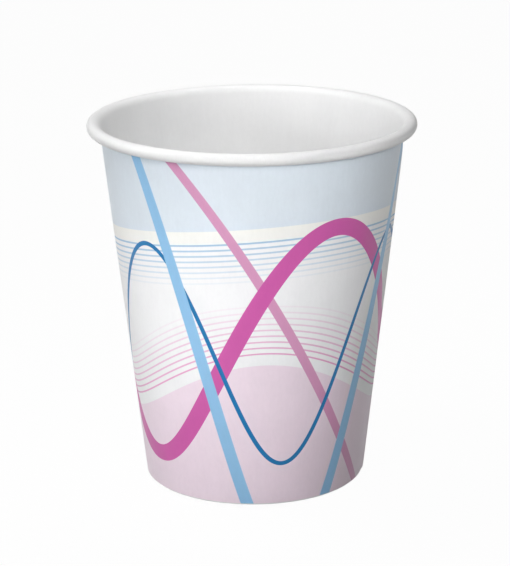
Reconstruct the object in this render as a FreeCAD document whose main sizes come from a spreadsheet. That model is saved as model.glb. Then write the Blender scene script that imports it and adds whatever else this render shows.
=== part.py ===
import FreeCAD, Part
import math
import os

import Sketcher

# Tapered paper cup with a rolled rim, in millimetres.
# The origin is the centre of the foot ring, on the table; +Z is the cup's axis, pointing up.

DRIVING_SIZES = {
    # The outline of the cup
    "rim_diameter": 80,
    "cup_height": 90,
    "base_diameter": 54.4,
    # The board that the side wall is made of
    "wall_board": 0.35,
    # The rim curl: the radius left open in its core at the seam, and the room between its turns
    "curl_core_radius": 0.15,
    "curl_gap": 0.15,
    "curl_end_angle": 60,
    # The side seam: where the inner lap ends, how far the laps overlap, and the step up to them
    "seam_angle": -6,
    "lap_angle": 10,
    "ramp_angle": 5,
    # The foot: the inner radius of its folds, and how far the hem stays under the disc
    "fold_radius": 0.1,
    "hem_setback": 1,
    # The bottom disc: its board, its height above the table, its bend and the glue line round its skirt
    "disc_board": 0.35,
    "recess_depth": 7,
    "disc_bend_radius": 0.4,
    "glue_gap": 0.05,
}

# Radii of the curl's four arcs, from the tuck at its end out to the throat where the wall turns over.
# Each is the radius of the curl's outermost face there, and leaves room for two layers of board.
TUCK_RADIUS = "(Sizes.curl_core_radius + 2 * Sizes.wall_board)"
RETURN_RADIUS = f"({TUCK_RADIUS} + Sizes.wall_board)"
NOSE_RADIUS = f"(({RETURN_RADIUS} + {TUCK_RADIUS} + 2 * Sizes.wall_board + Sizes.curl_gap) / 2)"
THROAT_RADIUS = f"({RETURN_RADIUS} + 2 * Sizes.wall_board + Sizes.curl_gap)"

# The pocket between the wall and its hem, which holds the disc's skirt
SKIRT_POCKET = "(Sizes.disc_board + 2 * Sizes.glue_gap)"
HEM_TOP = "(Sizes.recess_depth - Sizes.hem_setback)"

# Where the curl's arcs are centred: the throat and the nose share one radius from the cup's axis
CURL_CENTRE = f"(Sizes.rim_diameter / 2 - {NOSE_RADIUS})"
THROAT_HEIGHT = f"(Sizes.cup_height - {THROAT_RADIUS})"

# Directions on a circle, in the section's plane
UP = math.pi / 2
LEFT = math.pi
DOWN = 3 * math.pi / 2
FULL_TURN = 2 * math.pi

# A sketch's own numbers for the points of a line or an arc, for its two axes and for its origin
START, END, CENTRE = range(1, 4)
CUP_AXIS, TABLE_LINE = range(-2, 0)
ORIGIN = (TABLE_LINE, START)


def fill_sheet(doc):
    """Write the driving sizes into a spreadsheet, one aliased row each."""
    sheet = doc.addObject("Spreadsheet::Sheet", "Sizes")
    for row, (alias, value) in enumerate(DRIVING_SIZES.items(), start=1):
        sheet.set(f"A{row}", alias)
        sheet.set(f"B{row}", str(value))
        sheet.setAlias(f"B{row}", alias)
    doc.recompute()
    return sheet


class Section:
    """A sketch in a half plane through the cup's axis, drawn in radius and height."""

    def __init__(self, body, sheet, name, turn=None):
        self.sheet = sheet
        self.sketch = body.newObject("Sketcher::SketchObject", name)
        planes = {feature.Role: feature for feature in body.Origin.OriginFeatures}
        self.sketch.AttachmentSupport = [(planes["XZ_Plane"], "")]
        self.sketch.MapMode = "FlatFace"
        if turn is not None:
            turned = FreeCAD.Rotation(FreeCAD.Vector(0, 1, 0), self.value(turn))
            self.sketch.AttachmentOffset = FreeCAD.Placement(FreeCAD.Vector(), turned)
            self.sketch.setExpression("AttachmentOffset.Rotation.Angle", f"{turn} * 1 deg")
        self.wall_foot = self.value("Sizes.base_diameter / 2")
        self.wall_lean, self.wall_face = self.add_wall_face()

    def value(self, expression):
        """The number that an expression on the sheet's sizes comes to now."""
        return float(self.sheet.evalExpression(expression.replace("Sizes.", "")))

    def line(self, start, end, construction=False):
        segment = Part.LineSegment(FreeCAD.Vector(*start), FreeCAD.Vector(*end))
        return self.sketch.addGeometry(segment, construction)

    def arc(self, centre, radius, from_angle, to_angle, construction=False):
        """An arc that runs anticlockwise between two angles."""
        circle = Part.Circle(FreeCAD.Vector(*centre), FreeCAD.Vector(0, 0, 1), radius)
        return self.sketch.addGeometry(Part.ArcOfCircle(circle, from_angle, to_angle), construction)

    def hold(self, kind, *geometry):
        """A geometric constraint, such as Tangent or Parallel."""
        self.sketch.addConstraint(Sketcher.Constraint(kind, *geometry))

    def size(self, kind, *geometry, expression, unit="mm"):
        """A dimension that follows an expression on the sheet."""
        number = self.value(expression)
        if unit == "deg":
            number = math.radians(number)
        index = self.sketch.addConstraint(Sketcher.Constraint(kind, *geometry, number))
        self.sketch.setExpression(f"Constraints[{index}]", f"({expression}) * 1 {unit}")

    def add_wall_face(self):
        """The wall's outer face as a construction line, from the foot up to the curl's throat."""
        radius = self.value(f"{THROAT_RADIUS} - Sizes.wall_board")
        centre_x = self.value(CURL_CENTRE)
        centre_z = self.value(THROAT_HEIGHT)
        across = centre_x - self.wall_foot
        lean = math.atan2(across, centre_z) - math.asin(radius / math.hypot(across, centre_z))
        touch = (centre_x - radius * math.cos(lean), centre_z + radius * math.sin(lean))
        throat = self.arc((centre_x, centre_z), radius, UP, LEFT - lean, construction=True)
        face = self.line((self.wall_foot, 0), touch, construction=True)
        self.size("DistanceX", *ORIGIN, face, START, expression="Sizes.base_diameter / 2")
        self.hold("PointOnObject", face, START, TABLE_LINE)
        self.hold("Tangent", face, END, throat, END)
        self.size("Radius", throat, expression=f"{THROAT_RADIUS} - Sizes.wall_board")
        self.size("DistanceX", *ORIGIN, throat, CENTRE, expression=CURL_CENTRE)
        self.size("DistanceY", *ORIGIN, throat, CENTRE, expression=THROAT_HEIGHT)
        self.hold("Vertical", throat, START, throat, CENTRE)
        return lean, face

    def face_radius(self, inset, height):
        """The radius, at a height, of a line that lies parallel to the wall's outer face, inset from it."""
        return self.wall_foot + height * math.tan(self.wall_lean) - inset / math.cos(self.wall_lean)

    def leaning_line(self, inset, low, high):
        """A line parallel to the wall's outer face, between two heights."""
        start = (self.face_radius(inset, low), low)
        end = (self.face_radius(inset, high), high)
        return self.line(start, end)

    def joining_line(self, first, last):
        """A line from one drawn point to another: each is a geometry and which of its points."""
        segment = Part.LineSegment(self.sketch.getPoint(*first), self.sketch.getPoint(*last))
        line = self.sketch.addGeometry(segment)
        self.hold("Coincident", line, START, *first)
        self.hold("Coincident", line, END, *last)
        return line

    def check(self):
        """Stop if the sketch isn't solved, or could still move."""
        if self.sketch.solve() != 0 or not self.sketch.FullyConstrained:
            raise RuntimeError(f"sketch {self.sketch.Name} isn't fully solved")


def draw_sheet_side(section, layers, floor_height, corner_radius):
    """Draw one face of the folded and curled sheet, from the hem's top edge to the curl's cut edge.

    layers counts the boards between the cup's inner face and this face: 0 is the inner face itself.
    floor_height is where this face turns in at the foot, or None where it lies on the table.
    """
    depth = f"{layers} * Sizes.wall_board"
    inset = f"(Sizes.wall_board - {depth})"
    hem_inset = f"(Sizes.wall_board + {SKIRT_POCKET} + {depth})"
    floor = section.value(floor_height or "0")
    corner = section.value(corner_radius)
    lean = section.wall_lean
    corner_height = floor + corner

    # The hem, the foot and the corners between them
    outer_x = section.face_radius(section.value(inset) + corner, corner_height)
    inner_x = section.face_radius(section.value(hem_inset) - corner, corner_height)
    rise = corner * math.sin(lean)
    hem_top = section.value(HEM_TOP)
    hem = section.leaning_line(section.value(hem_inset), corner_height + rise, hem_top)
    inner_corner = section.arc((inner_x, corner_height), corner, LEFT - lean, DOWN)
    foot = section.line((inner_x, floor), (outer_x, floor))
    outer_corner = section.arc((outer_x, corner_height), corner, DOWN, FULL_TURN - lean)

    # The wall and the four arcs of the curl
    depth_now = section.value(depth)
    throat_radius = section.value(THROAT_RADIUS)
    nose_radius = section.value(NOSE_RADIUS)
    return_radius = section.value(RETURN_RADIUS)
    tuck_radius = section.value(TUCK_RADIUS)
    centre_x = section.value(CURL_CENTRE)
    top = section.value("Sizes.cup_height")
    throat_z = section.value(THROAT_HEIGHT)
    return_z = top - 2 * nose_radius + return_radius
    tuck_x = centre_x - return_radius + tuck_radius
    curl_end = math.radians(section.value("Sizes.curl_end_angle"))
    throat_touch = throat_z + (throat_radius - depth_now) * math.sin(lean)
    wall = section.leaning_line(section.value(inset), corner_height - rise, throat_touch)
    throat = section.arc((centre_x, throat_z), throat_radius - depth_now, UP, LEFT - lean)
    nose = section.arc((centre_x, top - nose_radius), nose_radius - depth_now, DOWN, FULL_TURN + UP)
    back = section.arc((centre_x, return_z), return_radius - depth_now, LEFT, DOWN)
    tuck = section.arc((tuck_x, return_z), tuck_radius - depth_now, curl_end, LEFT)

    # Each stretch runs on smoothly from the one before
    section.hold("Tangent", hem, START, inner_corner, START)
    section.hold("Tangent", inner_corner, END, foot, START)
    section.hold("Tangent", foot, END, outer_corner, START)
    section.hold("Tangent", outer_corner, END, wall, START)
    section.hold("Tangent", wall, END, throat, END)
    section.hold("Tangent", throat, START, nose, END)
    section.hold("Tangent", nose, START, back, END)
    section.hold("Tangent", back, START, tuck, END)
    section.hold("Vertical", throat, START, throat, CENTRE)
    section.hold("Vertical", nose, START, nose, CENTRE)
    section.hold("Horizontal", back, START, back, CENTRE)
    section.hold("Parallel", wall, section.wall_face)
    section.hold("Parallel", hem, section.wall_face)
    section.hold("Horizontal", foot)
    if floor_height is None:
        section.hold("PointOnObject", foot, START, TABLE_LINE)
    else:
        section.size("DistanceY", *ORIGIN, foot, START, expression=floor_height)

    section.size("DistanceY", *ORIGIN, hem, END, expression=HEM_TOP)
    section.size("Distance", hem, END, section.wall_face, expression=hem_inset)
    section.size("Radius", inner_corner, expression=corner_radius)
    section.size("Radius", outer_corner, expression=corner_radius)
    section.size("DistanceX", *ORIGIN, throat, CENTRE, expression=CURL_CENTRE)
    section.size("DistanceY", *ORIGIN, throat, CENTRE, expression=THROAT_HEIGHT)
    section.size("Radius", throat, expression=f"{THROAT_RADIUS} - {depth}")
    section.size("Radius", nose, expression=f"{NOSE_RADIUS} - {depth}")
    section.size("Radius", back, expression=f"{RETURN_RADIUS} - {depth}")
    section.size("Radius", tuck, expression=f"{TUCK_RADIUS} - {depth}")
    return hem, tuck


def draw_sheet(body, sheet, name, turn, first_layer, last_layer):
    """The closed section of the side wall's board, between two of its layer faces."""
    section = Section(body, sheet, name, turn)
    outer_fold = "(Sizes.fold_radius + Sizes.wall_board)"
    inner_hem, inner_tuck = draw_sheet_side(section, first_layer, "Sizes.wall_board", "Sizes.fold_radius")
    outer_hem, outer_tuck = draw_sheet_side(section, last_layer, None, outer_fold)
    section.joining_line((inner_hem, END), (outer_hem, END))
    curl_edge = section.joining_line((outer_tuck, START), (inner_tuck, START))
    section.hold("PointOnObject", inner_tuck, CENTRE, curl_edge)
    section.size("Angle", curl_edge, expression="Sizes.curl_end_angle", unit="deg")
    section.check()
    return section.sketch


def add_revolution(body, name, sketch, turn):
    """Turn a section about the cup's axis, anticlockwise seen from above."""
    revolution = body.newObject("PartDesign::Revolution", name)
    revolution.Profile = sketch
    revolution.ReferenceAxis = (sketch, ["V_Axis"])
    revolution.setExpression("Angle", turn)
    revolution.Refine = False


def make_side_wall(doc, sheet):
    """The printed blank: wrapped round to a lapped seam, curled at the rim and folded in at the foot."""
    body = doc.addObject("PartDesign::Body", "SideWall")
    body.Label = "side_wall"

    # One layer of board, from the end of the laps most of the way round
    wrap_start = "(Sizes.seam_angle + Sizes.lap_angle)"
    wrap_section = draw_sheet(body, sheet, "WrapSection", wrap_start, 0, 1)
    add_revolution(body, "Wrap", wrap_section, "360 - Sizes.lap_angle - Sizes.ramp_angle")
    doc.recompute()

    # The step where the board lifts by its own thickness to pass over its first edge
    ramp_start = "(Sizes.seam_angle - Sizes.ramp_angle)"
    ramp_low = draw_sheet(body, sheet, "RampLowSection", ramp_start, 0, 1)
    ramp_high = draw_sheet(body, sheet, "RampHighSection", "Sizes.seam_angle", 1, 2)
    ramp = body.newObject("PartDesign::AdditiveLoft", "Ramp")
    ramp.Profile = ramp_low
    ramp.Sections = [ramp_high]
    ramp.Ruled = True
    ramp.Refine = False
    doc.recompute()

    # The two glued laps
    lap_section = draw_sheet(body, sheet, "LapSection", "Sizes.seam_angle", 0, 2)
    add_revolution(body, "Lap", lap_section, "Sizes.lap_angle")
    doc.recompute()
    return body


def make_bottom_disc(doc, sheet):
    """The disc that closes the cup, with its edge turned down as a skirt inside the hem."""
    body = doc.addObject("PartDesign::Body", "BottomDisc")
    body.Label = "bottom_disc"
    section = Section(body, sheet, "DiscSection")
    lean = section.wall_lean

    outer_inset = "(Sizes.wall_board + Sizes.glue_gap)"
    inner_inset = f"({outer_inset} + Sizes.disc_board)"
    outer_bend = "(Sizes.disc_bend_radius + Sizes.disc_board)"
    skirt_foot = "(Sizes.wall_board + Sizes.fold_radius + Sizes.glue_gap)"
    underside = section.value("Sizes.recess_depth")
    top = section.value("Sizes.recess_depth + Sizes.disc_board")
    low = section.value(skirt_foot)
    inner_radius = section.value("Sizes.disc_bend_radius")
    outer_radius = section.value(outer_bend)
    bend_z = underside - inner_radius
    bend_x = section.face_radius(section.value(inner_inset) + inner_radius, bend_z)
    outer_high = bend_z - outer_radius * math.sin(lean)
    inner_high = bend_z - inner_radius * math.sin(lean)

    top_line = section.line((0, top), (bend_x, top))
    outer_arc = section.arc((bend_x, bend_z), outer_radius, FULL_TURN - lean, FULL_TURN + UP)
    outer_skirt = section.leaning_line(section.value(outer_inset), low, outer_high)
    inner_skirt = section.leaning_line(section.value(inner_inset), low, inner_high)
    inner_arc = section.arc((bend_x, bend_z), inner_radius, FULL_TURN - lean, FULL_TURN + UP)
    under_line = section.line((bend_x, underside), (0, underside))

    section.hold("Tangent", top_line, END, outer_arc, END)
    section.hold("Tangent", outer_arc, START, outer_skirt, END)
    section.hold("Tangent", inner_skirt, END, inner_arc, START)
    section.hold("Tangent", inner_arc, END, under_line, START)
    foot_edge = section.joining_line((outer_skirt, START), (inner_skirt, START))
    axis_line = section.joining_line((under_line, END), (top_line, START))
    section.hold("Horizontal", top_line)
    section.hold("Horizontal", under_line)
    section.hold("Horizontal", foot_edge)
    section.hold("Vertical", axis_line)
    section.hold("PointOnObject", axis_line, START, CUP_AXIS)
    section.hold("Parallel", outer_skirt, section.wall_face)
    section.hold("Parallel", inner_skirt, section.wall_face)
    section.size("Distance", outer_skirt, START, section.wall_face, expression=outer_inset)
    section.size("Distance", inner_skirt, START, section.wall_face, expression=inner_inset)
    section.size("DistanceY", *ORIGIN, foot_edge, START, expression=skirt_foot)
    section.size("DistanceY", *ORIGIN, axis_line, START, expression="Sizes.recess_depth")
    section.size("DistanceY", axis_line, START, axis_line, END, expression="Sizes.disc_board")
    section.size("Radius", inner_arc, expression="Sizes.disc_bend_radius")
    section.size("Radius", outer_arc, expression=outer_bend)
    section.check()

    add_revolution(body, "Disc", section.sketch, "360")
    doc.recompute()
    return body


def check_document(doc, bodies):
    """Stop if any object failed to recompute, or a piece has no sound solid."""
    for item in doc.Objects:
        if "Invalid" in item.State or "Error" in item.State:
            raise RuntimeError(f"{item.Name} failed to recompute: {item.State}")
    for body in bodies:
        shape = body.Shape
        if shape.isNull() or not shape.isValid() or len(shape.Solids) != 1:
            raise RuntimeError(f"{body.Label} isn't one sound solid")


def write_pieces(bodies):
    os.makedirs("parts", exist_ok=True)
    for body in bodies:
        body.Shape.exportStep(os.path.join("parts", f"{body.Label}.step"))


doc = FreeCAD.newDocument("PaperCup")
sizes = fill_sheet(doc)
pieces = [make_side_wall(doc, sizes), make_bottom_disc(doc, sizes)]
doc.recompute()
check_document(doc, pieces)
write_pieces(pieces)
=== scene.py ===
"""A paper cup with a rolled rim, a lapped seam and a recessed bottom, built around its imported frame."""

import math

import bpy
import numpy as np
from bpy.props import FloatProperty, FloatVectorProperty, PointerProperty
from mathutils import Matrix, Vector


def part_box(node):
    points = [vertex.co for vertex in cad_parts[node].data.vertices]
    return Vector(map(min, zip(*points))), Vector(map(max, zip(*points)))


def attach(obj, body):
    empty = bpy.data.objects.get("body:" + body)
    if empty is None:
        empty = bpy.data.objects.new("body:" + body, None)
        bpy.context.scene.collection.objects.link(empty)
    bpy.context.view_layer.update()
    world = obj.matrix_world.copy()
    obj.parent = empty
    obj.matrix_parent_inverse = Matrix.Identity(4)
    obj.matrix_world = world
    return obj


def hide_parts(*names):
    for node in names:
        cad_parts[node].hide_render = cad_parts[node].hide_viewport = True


bl_info = {
    "name": "Paper Cup",
    "version": (1, 0, 0),
    "blender": (4, 5, 0),
    "location": "View3D > Sidebar > Paper Cup",
    "description": "Builds a lapped and rolled paper cup around its packed frame, and its studio",
    "category": "Add Mesh",
}

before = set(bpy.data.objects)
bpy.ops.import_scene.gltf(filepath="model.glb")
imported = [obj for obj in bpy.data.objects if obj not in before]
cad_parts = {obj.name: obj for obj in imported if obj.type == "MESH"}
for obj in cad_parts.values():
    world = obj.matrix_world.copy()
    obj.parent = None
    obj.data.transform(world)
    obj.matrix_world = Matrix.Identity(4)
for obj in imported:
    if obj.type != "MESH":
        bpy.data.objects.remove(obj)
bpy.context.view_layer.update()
WALL_LOW, WALL_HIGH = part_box("side_wall")
MM = 0.001


def srgb(red, green, blue):
    """Linear colour of a display colour given from 0 to 255."""
    levels = (red / 255, green / 255, blue / 255)
    return tuple(v / 12.92 if v < 0.04045 else ((v + 0.055) / 1.055) ** 2.4 for v in levels)


def length(name, description, default):
    """A length that a user may change, in metres."""
    return FloatProperty(name=name, description=description, default=default, unit="LENGTH", precision=5)


def angle(name, description, degrees):
    """An angle that a user may change, given here in degrees."""
    return FloatProperty(
        name=name, description=description, default=math.radians(degrees), subtype="ANGLE"
    )


def colour(name, description, *levels):
    """A colour that a user may change, given here as a display colour."""
    return FloatVectorProperty(
        name=name, description=description, default=srgb(*levels), subtype="COLOR", min=0, max=1
    )


# Sizes and colours

class CupSizes(bpy.types.PropertyGroup):
    """Sizes of the bent board: wall, rolled rim, folded foot, seam and bottom disc."""

    rim_diameter: length("Rim diameter", "Across the outside of the rolled rim", 2 * WALL_HIGH.x)
    cup_height: length("Cup height", "From the table to the top of the rim", WALL_HIGH.z)
    base_diameter: length("Base diameter", "Across the wall's outer face at the table", 54.4 * MM)
    board: length("Board", "Thickness of the wall's board", 0.35 * MM)
    throat_radius: length("Throat radius", "Bend from the wall into the rim's crown", 2.05 * MM)
    nose_radius: length("Nose radius", "Outer bend of the rolled rim", 1.45 * MM)
    return_radius: length("Return radius", "Lower bend of the rolled rim", 1.2 * MM)
    tuck_radius: length("Tuck radius", "Last bend, inside the roll", 0.85 * MM)
    tuck_end: angle("Tuck end", "Where the roll's last bend ends, up from the horizontal", 60)
    fold_radius: length("Fold radius", "Inner corner radius of the folded foot", 0.1 * MM)
    pocket: length("Pocket", "Room in the fold for the disc's skirt", 0.45 * MM)
    hem_top: length("Hem top", "Height of the fold's free edge inside the recess", 6 * MM)
    seam_angle: angle("Seam angle", "Where the inner end of the wall's board starts", -6)
    lap_angle: angle("Lap angle", "How far the outer end laps over the inner one", 10)
    ramp_angle: angle("Ramp angle", "How far the board takes to climb onto the lap", 5)
    recess_depth: length("Recess depth", "From the table to the disc's underside", 7 * MM)
    disc_board: length("Disc board", "Thickness of the bottom disc's board", 0.35 * MM)
    disc_bend: length("Disc bend", "Inner bend radius of the disc's skirt", 0.4 * MM)
    disc_foot: length("Disc foot", "Height of the skirt's cut edge above the table", 0.5 * MM)
    glue_gap: length("Glue gap", "Gap between the skirt and the wall", 0.05 * MM)


class PrintDesign(bpy.types.PropertyGroup):
    """Colours and widths of the printed waves."""

    board_white: colour("Board white", "Outer face without ink", 247, 247, 248)
    # Board plain is the unprinted board, set a shade greyer than the board white as painted shade on the
    # rolled rim, the inside and the disc.
    board_plain_shaded: colour("Board plain", "Inner face and disc, coated but unprinted", 236, 236, 236)
    cream: colour("Cream", "Band between the blue field and its pinstripes", 247, 247, 244)
    pale_blue: colour("Pale blue", "Field under the rim", 225, 234, 242)
    pale_pink: colour("Pale pink", "Field over the foot", 243, 226, 237)
    sky_blue: colour("Sky blue", "Middle ribbon", 146, 195, 232)
    magenta: colour("Magenta", "Widest ribbon", 206, 92, 168)
    rose: colour("Rose", "Soft ribbon", 214, 152, 190)
    teal: colour("Teal", "Thin ribbon", 10, 116, 176)
    blue_line: colour("Blue line", "Pinstripes under the blue field", 168, 202, 228)
    pink_line: colour("Pink line", "Pinstripes over the pink field", 232, 172, 208)


class StudioSettings(bpy.types.PropertyGroup):
    """Camera, floor and light of the studio."""

    camera_distance: length("Camera distance", "From the cup's middle to the camera", 571.2 * MM)
    camera_height: angle("Camera angle", "Angle of the camera above the horizon", 16.94)
    camera_roll: angle("Camera roll", "Turn of the camera about its own line of sight", -0.46)
    aim_height: length("Aim height", "Height of the point that the camera looks at", 44.8 * MM)
    lens: FloatProperty(name="Lens", description="Focal length in millimetres", default=146.7)
    floor_radius: length("Floor radius", "Radius of the studio floor", 3.0)
    room_light: FloatProperty(name="Room light", description="Level of the light all round", default=0.22)


# Node trees

class Wire:
    """A node tree's socket, which Python expressions combine by adding Math nodes."""

    def __init__(self, tree, socket=None):
        self.tree = tree
        self.socket = socket

    def add(self, kind, settings=None, inputs=None, output=0):
        """Adds a node, makes its settings, fills or links its inputs and returns one output."""
        node = self.tree.nodes.new(kind)
        for name, value in (settings or {}).items():
            setattr(node, name, value)
        for name, value in (inputs or {}).items():
            if isinstance(value, Wire):
                self.tree.links.new(value.socket, node.inputs[name])
            else:
                node.inputs[name].default_value = value
        return Wire(self.tree, node.outputs[output]) if node.outputs else None

    def math(self, operation, *values, clamp=False):
        settings = {"operation": operation, "use_clamp": clamp}
        return self.add("ShaderNodeMath", settings, dict(enumerate(values)))

    def __add__(self, other):
        return self.math("ADD", self, other)

    def __radd__(self, other):
        return self.math("ADD", other, self)

    def __sub__(self, other):
        return self.math("SUBTRACT", self, other)

    def __rsub__(self, other):
        return self.math("SUBTRACT", other, self)

    def __mul__(self, other):
        return self.math("MULTIPLY", self, other)

    def __rmul__(self, other):
        return self.math("MULTIPLY", other, self)

    def __truediv__(self, other):
        return self.math("DIVIDE", self, other)

    def __neg__(self):
        return self.math("MULTIPLY", self, -1)

    def __abs__(self):
        return self.math("ABSOLUTE", self)

    def clamped(self):
        return self.math("ADD", self, 0, clamp=True)

    def mix(self, factor, first, second):
        """Mix of two colours by a factor from 0 to 1."""
        return self.add(
            "ShaderNodeMix", {"data_type": "RGBA"}, {0: factor, 6: opaque(first), 7: opaque(second)}, 2
        )


def opaque(value):
    """A colour with its alpha, or a link as it is."""
    return value if isinstance(value, Wire) else (*value[:3], 1)


def place_on_cup(wires):
    """Object position in metres, and its parts."""
    place = wires.add("ShaderNodeTexCoord", output="Object")
    parts = [wires.add("ShaderNodeSeparateXYZ", inputs={0: place}, output=k) for k in range(3)]
    return place, parts


def surface(material, colour_link, roughness, height, depth, specular):
    """Finishes a material with a bump of a given depth in metres."""
    wires = Wire(material.node_tree)
    normal = wires.add("ShaderNodeBump", inputs={"Height": height, "Distance": depth, "Strength": 1})
    shader = wires.add(
        "ShaderNodeBsdfPrincipled",
        inputs={
            "Base Color": colour_link,
            "Roughness": roughness,
            "Normal": normal,
            "Specular IOR Level": specular,
        },
    )
    wires.add("ShaderNodeOutputMaterial", inputs={"Surface": shader})


def new_material(name):
    """An empty node material."""
    material = bpy.data.materials.new(name)
    material.use_nodes = True
    material.node_tree.nodes.clear()
    return material, Wire(material.node_tree)


def noise(wires, place, scale, detail, stretch=None):
    """Fractal noise of a given scale per metre, from 0 to 1, about 0.5."""
    if stretch:
        place = wires.add(
            "ShaderNodeVectorMath", {"operation": "MULTIPLY"}, {0: place, 1: stretch}
        )
    return wires.add("ShaderNodeTexNoise", inputs={"Vector": place, "Scale": scale, "Detail": detail})


def board_texture(wires, place):
    """Slow clouds and fine fibres of pressed board with its upright grain, each about 0."""
    clouds = noise(wires, place, 120, 4) - 0.5
    grain = noise(wires, place, 900, 2, (1, 1, 0.05)) - 0.5
    fibres = noise(wires, place, 1500, 4, (1, 1, 0.45)) - 0.5 + grain * 0.6
    return clouds, fibres


def tinted(wires, base, clouds, fibres, depth):
    """A colour made lighter and darker by the board's clouds and fibres."""
    tone = 1 + depth * (clouds * 1.2 + fibres * 0.8)
    grey = wires.add("ShaderNodeCombineColor", inputs={0: tone, 1: tone, 2: tone})
    return wires.add(
        "ShaderNodeMix",
        {"data_type": "RGBA", "blend_type": "MULTIPLY"},
        {0: 1.0, 6: opaque(base), 7: grey},
        2,
    )


# Print, with its lengths in millimetres

SOFT_EDGE = 0.06
RIBBONS = (
    # ink, width, middle height, swing, waves round the cup, phase in degrees
    ("rose", 2.3, 45.0, 58.0, 1, 165),
    ("magenta", 4.2, 40.0, 30.0, 2, 110),
    ("teal", 1.1, 38.0, 27.0, 3, 50),
    ("sky_blue", 3.0, 46.0, 62.0, 2, 325),
)

# Edges of the two fields: middle height, swing, waves round the cup, phase in degrees
BLUE_BORDER = (67.0, 5.0, 1, 60)
PINK_BORDER = (28.0, 9.0, 2, 170)

# Pinstripes beside the fields: distance of the first from the edge, pitch, count, width
BLUE_LINES = (3.4, 1.35, 8, 0.42)
PINK_LINES = (3.0, 1.5, 9, 0.38)
CREAM_WIDTH = 3.2


class WavePrint:
    """Distances from waves round the cup, for ribbons, borders and pinstripes."""

    def __init__(self, wires, parts):
        across, along, height = parts
        self.wires = wires
        self.height = height * 1000
        self.turn = wires.math("ARCTAN2", along, across)
        self.radius = wires.math("SQRT", across * across + along * along) * 1000

    def above(self, middle, swing, repeats, phase):
        """Distance above a wave in millimetres, square to it."""
        turn = self.turn * repeats + math.radians(phase)
        lift = self.height - (middle + swing * self.wires.math("COSINE", turn))
        slope = swing * repeats * self.wires.math("SINE", turn) / self.radius
        return lift / self.wires.math("SQRT", 1 + slope * slope)

    def inside(self, distance):
        """1 where a distance is under 0, with a soft edge."""
        return self.wires.math("MULTIPLY_ADD", distance, -1 / SOFT_EDGE, 0.5, clamp=True)

    def ribbon(self, width, *wave):
        """Mask of a ribbon of constant width."""
        return self.inside(abs(self.above(*wave)) - width / 2)

    def lines(self, distance, first, pitch, count, width):
        """Mask of fading lines at even distances from a border."""
        step = (distance - first) / pitch
        nearest = self.wires.math("ROUND", step)
        line = self.inside(abs(step - nearest) * pitch - width / 2)
        started = self.inside(-step - 0.5)
        fade = (1 - step / count).clamped()
        return line * started * fade


def print_material(design):
    """White board with printed fields, pinstripes and waving ribbons."""
    material, wires = new_material("printed_board")
    place, parts = place_on_cup(wires)
    clouds, fibres = board_texture(wires, place)
    print_waves = WavePrint(wires, parts)
    ink = opaque(design.board_white)

    blue_edge = -print_waves.above(*BLUE_BORDER)
    pink_edge = print_waves.above(*PINK_BORDER)
    blue_field = print_waves.inside(blue_edge)
    pink_field = print_waves.inside(pink_edge)
    cream_band = print_waves.inside(blue_edge - CREAM_WIDTH)
    blue_lines = print_waves.lines(blue_edge, *BLUE_LINES)
    pink_lines = print_waves.lines(pink_edge, *PINK_LINES)
    ink = wires.mix(cream_band, ink, design.cream)
    ink = wires.mix(blue_field, ink, design.pale_blue)
    ink = wires.mix(pink_field, ink, design.pale_pink)
    ink = wires.mix(blue_lines, ink, design.blue_line)
    ink = wires.mix(pink_lines, ink, design.pink_line)
    cover = 0.4 * (blue_field + pink_field)
    for name, width, *wave in RIBBONS:
        ribbon = print_waves.ribbon(width, *wave)
        ink = wires.mix(ribbon, ink, getattr(design, name))
        cover = wires.math("MAXIMUM", cover, ribbon)

    base = tinted(wires, ink, clouds, fibres, 0.07)
    roughness = 0.5 - 0.1 * cover + 0.16 * clouds
    surface(material, base, roughness, fibres + clouds * 2, 0.012 * MM, 0.4)
    return material


def plain_material(name, tint, roughness, depth):
    """Coated board without ink, with its fine fibres showing through the coat."""
    material, wires = new_material(name)
    place, _ = place_on_cup(wires)
    clouds, fibres = board_texture(wires, place)
    base = tinted(wires, tint, clouds, fibres, 0.06)
    surface(material, base, roughness + 0.14 * clouds, fibres + clouds * 2, depth, 0.4)
    return material


CUT_COLOUR = srgb(240, 238, 232)


def cut_material():
    """The board's raw cut edge, with its pressed layers of fibre."""
    material, wires = new_material("cut_board")
    place, _ = place_on_cup(wires)
    clouds, fibres = board_texture(wires, place)
    layers = noise(wires, place, 9000, 2, (1, 1, 0.2)) - 0.5
    base = tinted(wires, CUT_COLOUR, clouds, layers + fibres, 0.22)
    surface(material, base, 0.85 + 0.1 * fibres, layers + fibres, 0.03 * MM, 0.25)
    return material


# Bent board

class Section:
    """First face of a bent sheet as points in the radius and height plane, with right-hand normals."""

    def __init__(self):
        self.points = []
        self.normals = []
        self.parts = []

    def run(self, part, start, end, count):
        """A straight run, without its last point."""
        start, end = np.array(start), np.array(end)
        way = (end - start) / np.linalg.norm(end - start)
        for k in range(count):
            self.points.append(start + (end - start) * k / count)
            self.normals.append(np.array([way[1], -way[0]]))
            self.parts.append(part)

    def bend(self, part, centre, radius, first, last, count, ends=False):
        """An arc from one angle to another in degrees, without its last point unless it ends there."""
        side = 1 if last > first else -1
        for k in range(count + ends):
            turn = math.radians(first + (last - first) * k / count)
            outward = np.array([math.cos(turn), math.sin(turn)])
            self.points.append(np.array(centre) + radius * outward)
            self.normals.append(side * outward)
            self.parts.append(part)

    def end(self, point):
        """The last point, with the normal of the run before it."""
        self.points.append(np.array(point))
        self.normals.append(self.normals[-1])
        self.parts.append(self.parts[-1])

    def arrays(self):
        return np.array(self.points), np.array(self.normals)


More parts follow.
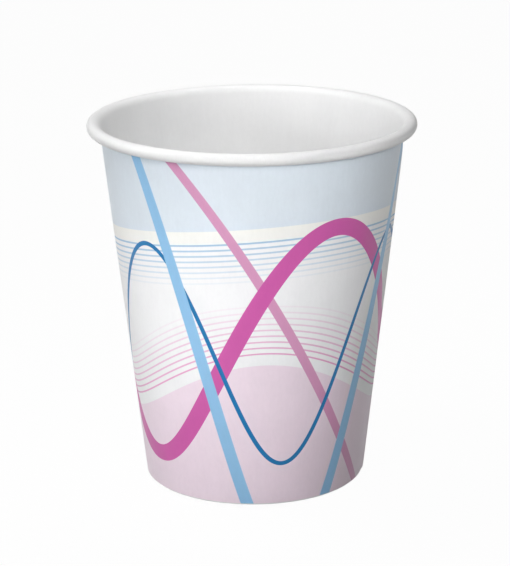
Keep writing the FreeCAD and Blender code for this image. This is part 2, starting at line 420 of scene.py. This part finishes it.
class CupShape:
    """Places on the cup's section that its sizes lead to, in metres."""

    def __init__(self, sizes):
        self.sizes = sizes
        self.curl_radius = sizes.rim_diameter / 2 - sizes.nose_radius
        reach = self.curl_radius - sizes.base_diameter / 2
        rise = sizes.cup_height - sizes.throat_radius
        throat = (sizes.throat_radius - sizes.board) / math.hypot(reach, rise)
        self.lean = math.acos(throat) - math.atan2(rise, reach)

    def face_radius(self, inset, height):
        """Radius of a face parallel to the wall's outer face, a given distance inside it."""
        return (
            self.sizes.base_diameter / 2
            + height * math.tan(self.lean)
            - inset / math.cos(self.lean)
        )

    def on_face(self, inset, height):
        return (self.face_radius(inset, height), height)

    def wall_section(self):
        """The wall's inner face, from the hem's free edge through the foot to the end of the roll."""
        sizes = self.sizes
        lean = math.degrees(self.lean)
        corner = sizes.fold_radius
        corner_height = sizes.board + corner
        hem_inset = sizes.board + sizes.pocket
        inner_corner = self.on_face(hem_inset - corner, corner_height)
        outer_corner = self.on_face(sizes.board + corner, corner_height)
        throat_centre = (self.curl_radius, sizes.cup_height - sizes.throat_radius)
        nose_centre = (self.curl_radius, sizes.cup_height - sizes.nose_radius)
        roll_height = nose_centre[1] - sizes.nose_radius + sizes.return_radius
        tuck_centre = (self.curl_radius - sizes.return_radius + sizes.tuck_radius, roll_height)

        side = np.array([-math.cos(self.lean), math.sin(self.lean)])
        hem_foot = np.array(inner_corner) - corner * side
        wall_foot = np.array(outer_corner) + corner * side
        wall_head = np.array(throat_centre) + sizes.throat_radius * side
        floor_inner = (inner_corner[0], sizes.board)
        floor_outer = (outer_corner[0], sizes.board)

        section = Section()
        section.run("hem", self.on_face(hem_inset, sizes.hem_top), hem_foot, 5)
        section.bend("corner", inner_corner, corner, -lean, -90, 5)
        section.run("floor", floor_inner, floor_outer, 1)
        section.bend("foot", outer_corner, corner, -90, -180 - lean, 6)
        section.run("wall", wall_foot, wall_head, 44)
        section.bend("throat", throat_centre, sizes.throat_radius, 180 - lean, 90, 8)
        section.bend("curl", nose_centre, sizes.nose_radius, 90, -90, 20)
        section.bend("curl", (self.curl_radius, roll_height), sizes.return_radius, -90, -180, 8)
        section.bend("curl", tuck_centre, sizes.tuck_radius, 180, math.degrees(sizes.tuck_end), 9, True)
        return section

    def disc_section(self):
        """The disc's upper face, from its middle over the bend and down the skirt."""
        sizes = self.sizes
        bend = sizes.disc_bend + sizes.disc_board
        inset = sizes.board + sizes.glue_gap
        top = sizes.recess_depth + sizes.disc_board
        centre = self.on_face(inset + bend, top - bend)
        lean = math.degrees(self.lean)
        skirt_head = np.array(centre) + bend * np.array([math.cos(self.lean), -math.sin(self.lean)])

        section = Section()
        section.run("disc", (0.0, top), (centre[0], top), 22)
        section.bend("bend", centre, bend, 90, -lean, 8)
        section.run("skirt", skirt_head, self.on_face(inset, sizes.disc_foot), 6)
        section.end(self.on_face(inset, sizes.disc_foot))
        return section


def smooth_step(low, high, values):
    """0 below one value and 1 above another, smooth between them."""
    share = np.clip((np.asarray(values, float) - low) / (high - low), 0, 1)
    return share * share * (3 - 2 * share)


def board_waves(seed):
    """A slow, seeded unevenness of the wall, as a function of angle and height."""
    random = np.random.default_rng(seed)
    waves = [
        (n, random.uniform(0, 2 * math.pi), random.uniform(40, 110), random.uniform(0, 2 * math.pi))
        for n in (2, 3, 5, 7, 9)
    ]

    def shift(turn, height):
        total = 0
        for n, turn_phase, pitch, phase in waves:
            total = total + np.sin(n * turn + turn_phase) * np.sin(height * pitch + phase) / n
        return total

    return shift


EDGE_PROFILE = ((0.12, 0.08), (0.5, 0.12), (0.88, 0.08))


def sheet_loop(points, normals, near, board):
    """Closed outline of a sheet that starts at an offset, with slightly rounded cut edges."""
    first = points + near * normals
    second = first + board * normals

    def edge(index, outward):
        start, across = first[index], second[index] - first[index]
        along = np.array([across[1], -across[0]]) * outward / board
        return [start + across * share + along * out * board for share, out in EDGE_PROFILE]

    return np.array([*first, *edge(-1, 1)[: len(EDGE_PROFILE)], *second[::-1], *edge(0, -1)[::-1]])


def build_object(name, vertices, faces, indices, materials):
    """A smooth mesh object with its materials."""
    mesh = bpy.data.meshes.new(name)
    mesh.from_pydata([tuple(v) for v in vertices], [], faces)
    for material in materials:
        mesh.materials.append(material)
    mesh.polygons.foreach_set("material_index", indices)
    mesh.polygons.foreach_set("use_smooth", [True] * len(faces))
    mesh.update()
    mesh.validate()
    mesh.set_sharp_from_angle(angle=math.radians(50))
    piece = bpy.data.objects.new(name, mesh)
    bpy.context.scene.collection.objects.link(piece)
    return piece


def turned(loop, turn):
    """A section's points at an angle round the cup's axis."""
    return np.column_stack([loop[:, 0] * math.cos(turn), loop[:, 0] * math.sin(turn), loop[:, 1]])


class PAPERCUP_OT_side_wall(bpy.types.Operator):
    """Builds the side wall: one sheet lapped at its seam, rolled at the rim and folded in at the foot"""

    bl_idname = "papercup.side_wall"
    bl_label = "Side Wall"

    PLAIN, PRINTED, CUT = range(3)
    COLUMNS = 360
    RAMP_COLUMNS = 10
    WAVE_DEPTH = 0.035 * MM
    KNURL_DEPTH = 0.04 * MM
    ROLLED_LAP = 0.04 * MM

    # Depths under the rim between which the lap is pressed flat for the roll
    FLATTENED = (9 * MM, 3 * MM)

    # Heights between which the climbing board's foot comes down onto the fold
    FOOT_LIFT = (0.5 * MM, 2.5 * MM)

    # Heights between which the unevenness starts over the foot and dies out under the rim
    WAVES_START = (9 * MM, 22 * MM)
    WAVES_STOP = (80 * MM, 87 * MM)

    def columns(self, sizes):
        """Angle of each column of the sheet, and the share of a board that it has climbed."""
        start = sizes.seam_angle
        climb = start + 2 * math.pi - sizes.ramp_angle
        lap = start + 2 * math.pi
        turns = np.concatenate([
            np.linspace(start, climb, self.COLUMNS, endpoint=False),
            np.linspace(climb, lap, self.RAMP_COLUMNS, endpoint=False),
            np.linspace(lap, lap + sizes.lap_angle, self.RAMP_COLUMNS + 1),
        ])
        return turns, smooth_step(climb, lap, turns)

    def column_loop(self, sizes, section, turn, climb, shift):
        """Outline of the sheet at one column."""
        points, normals = section.arrays()
        roll_start, roll_end = (sizes.cup_height - depth for depth in self.FLATTENED)
        rolled = smooth_step(roll_start, roll_end, points[:, 1])
        near = climb * (sizes.board + rolled * (self.ROLLED_LAP - sizes.board))[:, None]
        loop = sheet_loop(points, normals, near, sizes.board)
        lift = 1 - smooth_step(*self.FOOT_LIFT, loop[:, 1])
        loop[:, 1] += climb * sizes.board * lift
        uneven = smooth_step(*self.WAVES_START, loop[:, 1]) * (1 - smooth_step(*self.WAVES_STOP, loop[:, 1]))
        loop[:, 0] += self.WAVE_DEPTH * uneven * shift(turn, loop[:, 1])
        return loop

    def press_hem(self, loop, hem, column):
        """Presses the foot's shallow knurl into the hem's face in the recess."""
        way = 1 if column % 4 < 2 else -1
        loop[hem, 0] += way * self.KNURL_DEPTH / 2

    def execute(self, context):
        sizes = context.scene.cup_sizes
        design = context.scene.cup_print
        section = CupShape(sizes).wall_section()
        count = len(section.points)
        turns, climbs = self.columns(sizes)
        shift = board_waves(7)
        printed_start = count + len(EDGE_PROFILE)
        hem = [
            printed_start + count - 1 - k for k, part in enumerate(section.parts) if part == "hem" and 0 < k
        ]

        rings = []
        for column, (turn, climb) in enumerate(zip(turns, climbs)):
            loop = self.column_loop(sizes, section, turn, climb, shift)
            self.press_hem(loop, hem, column)
            rings.append(turned(loop, turn))
        size = len(rings[0])
        vertices = np.concatenate(rings)

        kinds = []
        for k in range(size):
            if k < count - 1:
                kinds.append(self.PLAIN)
            elif k < printed_start:
                kinds.append(self.CUT)
            elif k < printed_start + count - 1:
                part = section.parts[count - 2 - (k - printed_start)]
                kinds.append(self.PRINTED if part in ("foot", "wall") else self.PLAIN)
            else:
                kinds.append(self.CUT)

        faces, indices = [], []
        for column in range(len(rings) - 1):
            here, there = column * size, (column + 1) * size
            for k in range(size):
                after = (k + 1) % size
                faces.append((here + k, here + after, there + after, there + k))
                indices.append(kinds[k])
        for base, flip in ((0, True), ((len(rings) - 1) * size, False)):
            for face in self.end_faces(count, size):
                corners = [base + k for k in face]
                faces.append(tuple(corners[::-1] if flip else corners))
                indices.append(self.CUT)

        materials = [
            # This colour carries painted shade: it makes the rolled rim, the inside and the hem greyer than
            # the printed outside.
            plain_material("coated_board_shaded", design.board_plain_shaded, 0.42, 0.010 * MM),
            print_material(design),
            cut_material(),
        ]
        piece = build_object("side_wall_sheet", vertices, faces, indices, materials)
        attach(piece, "root")
        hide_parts("side_wall")
        return {"FINISHED"}

    def end_faces(self, count, size):
        """Faces that close the sheet at one of its cut ends."""
        second = count + len(EDGE_PROFILE)
        last = second + count - 1
        faces = [(k, k + 1, last - k - 1, last - k) for k in range(count - 1)]
        faces.append(tuple(range(count - 1, second + 1)))
        faces.append((*range(last, size), 0))
        return faces


class PAPERCUP_OT_bottom_disc(bpy.types.Operator):
    """Builds the bottom disc, with its skirt bent down into the folded foot"""

    bl_idname = "papercup.bottom_disc"
    bl_label = "Bottom Disc"

    COLUMNS = 256
    DISH = 0.1 * MM

    # The dish fades out between these radii, and leaves what is below this height as it is
    DISH_RADII = (6 * MM, 22 * MM)
    DISH_FLOOR = 6.5 * MM

    def execute(self, context):
        sizes = context.scene.cup_sizes
        section = CupShape(sizes).disc_section()
        points, normals = section.arrays()
        count = len(points)
        loop = sheet_loop(points, normals, 0, sizes.disc_board)
        loop = loop[: -len(EDGE_PROFILE)]
        dished = 1 - smooth_step(*self.DISH_RADII, loop[:, 0])
        loop[:, 1] -= self.DISH * dished * (loop[:, 1] > self.DISH_FLOOR)
        size = len(loop)

        vertices = [(0, 0, loop[0, 1]), (0, 0, loop[-1, 1])]
        for column in range(self.COLUMNS):
            vertices.extend(turned(loop[1:-1], 2 * math.pi * column / self.COLUMNS))
        ring = size - 2
        cut = range(count - 2, count - 2 + len(EDGE_PROFILE) + 1)
        faces, indices = [], []
        for column in range(self.COLUMNS):
            here = 2 + column * ring
            there = 2 + (column + 1) % self.COLUMNS * ring
            faces.append((0, here, there))
            faces.append((here + ring - 1, 1, there + ring - 1))
            indices.extend((0, 0))
            for k in range(ring - 1):
                faces.append((here + k, here + k + 1, there + k + 1, there + k))
                indices.append(1 if k in cut else 0)

        design = context.scene.cup_print
        materials = [
            # The disc takes the same greyer colour, with its painted shade.
            plain_material("disc_board", design.board_plain_shaded, 0.45, 0.012 * MM),
            cut_material(),
        ]
        piece = build_object("bottom_disc_sheet", vertices, faces, indices, materials)
        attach(piece, "root")
        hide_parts("bottom_disc")
        return {"FINISHED"}


# Studio

LAMPS = (
    # name, turn to the right of the camera and height in degrees, distance, size, height aimed at,
    # spread in degrees, power in watts
    ("front", -10, 30, 0.60, 0.30, 0.045, 180, 0.160),
    ("low_front", -20, 3, 0.20, 0.08, 0.045, 180, 0.034),
    ("over_left", -90, 65, 0.30, 0.10, 0.070, 180, 0.330),
    ("over_back", 180, 60, 0.30, 0.10, 0.060, 180, 0.170),
    ("top_right", 15, 20, 0.35, 0.10, 0.085, 30, 0.0215),
    ("foot_left", -30, 10, 0.35, 0.10, 0.030, 30, 0.0200),
    ("side_left", -90, 20, 0.35, 0.10, 0.085, 40, 0.0140),
)


class PAPERCUP_OT_studio(bpy.types.Operator):
    """Sets up the pale floor, the soft lamps and the camera"""

    bl_idname = "papercup.studio"
    bl_label = "Studio"

    FLOOR_CORNERS = 96
    FLOOR_DROP = 0.02 * MM

    # Grey of the floor where it lights the cup, and where the camera sees it, with the share of glow there
    FLOOR_PAPER = 0.3
    FLOOR_PALE = 0.95
    FLOOR_GLOW = 0.97

    # How far the picture is shifted to lie over the photograph, in shares of its larger side
    SHIFT_X = 0.0030
    SHIFT_Y = 0.0223

    def make_floor(self, settings):
        """A pale floor that keeps the cup's shadow and shows near white to the camera."""
        count = self.FLOOR_CORNERS
        radius = settings.floor_radius
        turns = [2 * math.pi * k / count for k in range(count)]
        rim = [(radius * math.cos(turn), radius * math.sin(turn), -self.FLOOR_DROP) for turn in turns]
        mesh = bpy.data.meshes.new("studio_floor")
        mesh.from_pydata(rim, [], [tuple(range(count))])
        material, wires = new_material("studio_floor")
        camera_ray = wires.add("ShaderNodeLightPath", output="Is Camera Ray")
        glossy_ray = wires.add("ShaderNodeLightPath", output="Is Glossy Ray")
        seen = wires.math("MAXIMUM", camera_ray, glossy_ray)
        paper = wires.add("ShaderNodeBsdfDiffuse", inputs={"Color": (*[self.FLOOR_PAPER] * 3, 1)})
        pale = wires.add("ShaderNodeBsdfDiffuse", inputs={"Color": (*[self.FLOOR_PALE] * 3, 1)})
        glow = wires.add("ShaderNodeEmission", inputs={"Color": (1, 1, 1, 1), "Strength": 1})
        bright = wires.add("ShaderNodeMixShader", inputs={0: self.FLOOR_GLOW, 1: pale, 2: glow})
        lit = wires.add("ShaderNodeMixShader", inputs={0: seen, 1: paper, 2: bright})
        below = wires.add("ShaderNodeNewGeometry", output="Backfacing")
        clear = wires.add("ShaderNodeBsdfTransparent")
        shader = wires.add("ShaderNodeMixShader", inputs={0: below, 1: lit, 2: clear})
        wires.add("ShaderNodeOutputMaterial", inputs={"Surface": shader})
        mesh.materials.append(material)
        floor = bpy.data.objects.new("studio_floor", mesh)
        bpy.context.scene.collection.objects.link(floor)

    def make_room(self, settings):
        """Even light all round, and white where the camera sees past the floor."""
        world = bpy.data.worlds.new("studio_room")
        world.use_nodes = True
        world.node_tree.nodes.clear()
        wires = Wire(world.node_tree)
        camera_ray = wires.add("ShaderNodeLightPath", output="Is Camera Ray")
        white = (1, 1, 1, 1)
        room = wires.add("ShaderNodeBackground", inputs={"Color": white, "Strength": settings.room_light})
        seen = wires.add("ShaderNodeBackground", inputs={"Color": white, "Strength": 1})
        shader = wires.add("ShaderNodeMixShader", inputs={0: camera_ray, 1: room, 2: seen})
        wires.add("ShaderNodeOutputWorld", inputs={"Surface": shader})
        bpy.context.scene.world = world

    def make_lamp(self, name, turn, height, distance, size, aim, spread, power):
        """A soft square lamp that the camera doesn't see, aimed at the cup."""
        light = bpy.data.lights.new(name, "AREA")
        light.shape = "SQUARE"
        light.size = size
        light.spread = math.radians(spread)
        light.energy = power
        lamp = bpy.data.objects.new(name, light)
        turn, height = math.radians(turn), math.radians(height)
        level = math.cos(height)
        way = Vector((math.sin(turn) * level, -math.cos(turn) * level, math.sin(height)))
        lamp.location = Vector((0, 0, aim)) + distance * way
        lamp.rotation_euler = (-way).to_track_quat("-Z", "Y").to_euler()
        lamp.visible_camera = False
        bpy.context.scene.collection.objects.link(lamp)

    def make_camera(self, settings):
        """The camera at the photograph's angle."""
        data = bpy.data.cameras.new("studio_camera")
        data.sensor_fit = "AUTO"
        data.sensor_width = 36
        data.lens = settings.lens
        data.shift_x = self.SHIFT_X
        data.shift_y = self.SHIFT_Y
        data.clip_start = 0.01
        data.clip_end = 20
        camera = bpy.data.objects.new("studio_camera", data)
        tilt = settings.camera_height
        back = Vector((0, -math.cos(tilt), math.sin(tilt)))
        place = Vector((0, 0, settings.aim_height)) + back * settings.camera_distance
        turn = (-back).to_track_quat("-Z", "Y").to_matrix().to_4x4()
        roll = Matrix.Rotation(settings.camera_roll, 4, "Z")
        camera.matrix_world = Matrix.Translation(place) @ turn @ roll
        bpy.context.scene.collection.objects.link(camera)
        bpy.context.scene.camera = camera

    def execute(self, context):
        settings = context.scene.cup_studio
        self.make_floor(settings)
        self.make_room(settings)
        for lamp in LAMPS:
            self.make_lamp(*lamp)
        self.make_camera(settings)
        context.scene.view_settings.view_transform = "Standard"
        return {"FINISHED"}


class PAPERCUP_PT_parts(bpy.types.Panel):
    """Lists the cup's pieces and its studio"""

    bl_idname = "PAPERCUP_PT_parts"
    bl_label = "Paper Cup"
    bl_space_type = "VIEW_3D"
    bl_region_type = "UI"
    bl_category = "Paper Cup"

    def draw(self, context):
        layout = self.layout
        for operator in OPERATORS:
            layout.operator(operator.bl_idname)
        for group, holder in GROUPS.items():
            box = layout.box()
            settings = getattr(context.scene, group)
            for name in holder.__annotations__:
                box.prop(settings, name)


GROUPS = {"cup_sizes": CupSizes, "cup_print": PrintDesign, "cup_studio": StudioSettings}
OPERATORS = (PAPERCUP_OT_side_wall, PAPERCUP_OT_bottom_disc, PAPERCUP_OT_studio)


def register():
    for name, group in GROUPS.items():
        bpy.utils.register_class(group)
        setattr(bpy.types.Scene, name, PointerProperty(type=group))
    for operator in OPERATORS:
        bpy.utils.register_class(operator)
    bpy.utils.register_class(PAPERCUP_PT_parts)


def unregister():
    bpy.utils.unregister_class(PAPERCUP_PT_parts)
    for operator in reversed(OPERATORS):
        bpy.utils.unregister_class(operator)
    for name, group in GROUPS.items():
        delattr(bpy.types.Scene, name)
        bpy.utils.unregister_class(group)


def main():
    register()
    bpy.ops.papercup.side_wall()
    bpy.ops.papercup.bottom_disc()
    bpy.ops.papercup.studio()


if __name__ == "__main__":
    main()
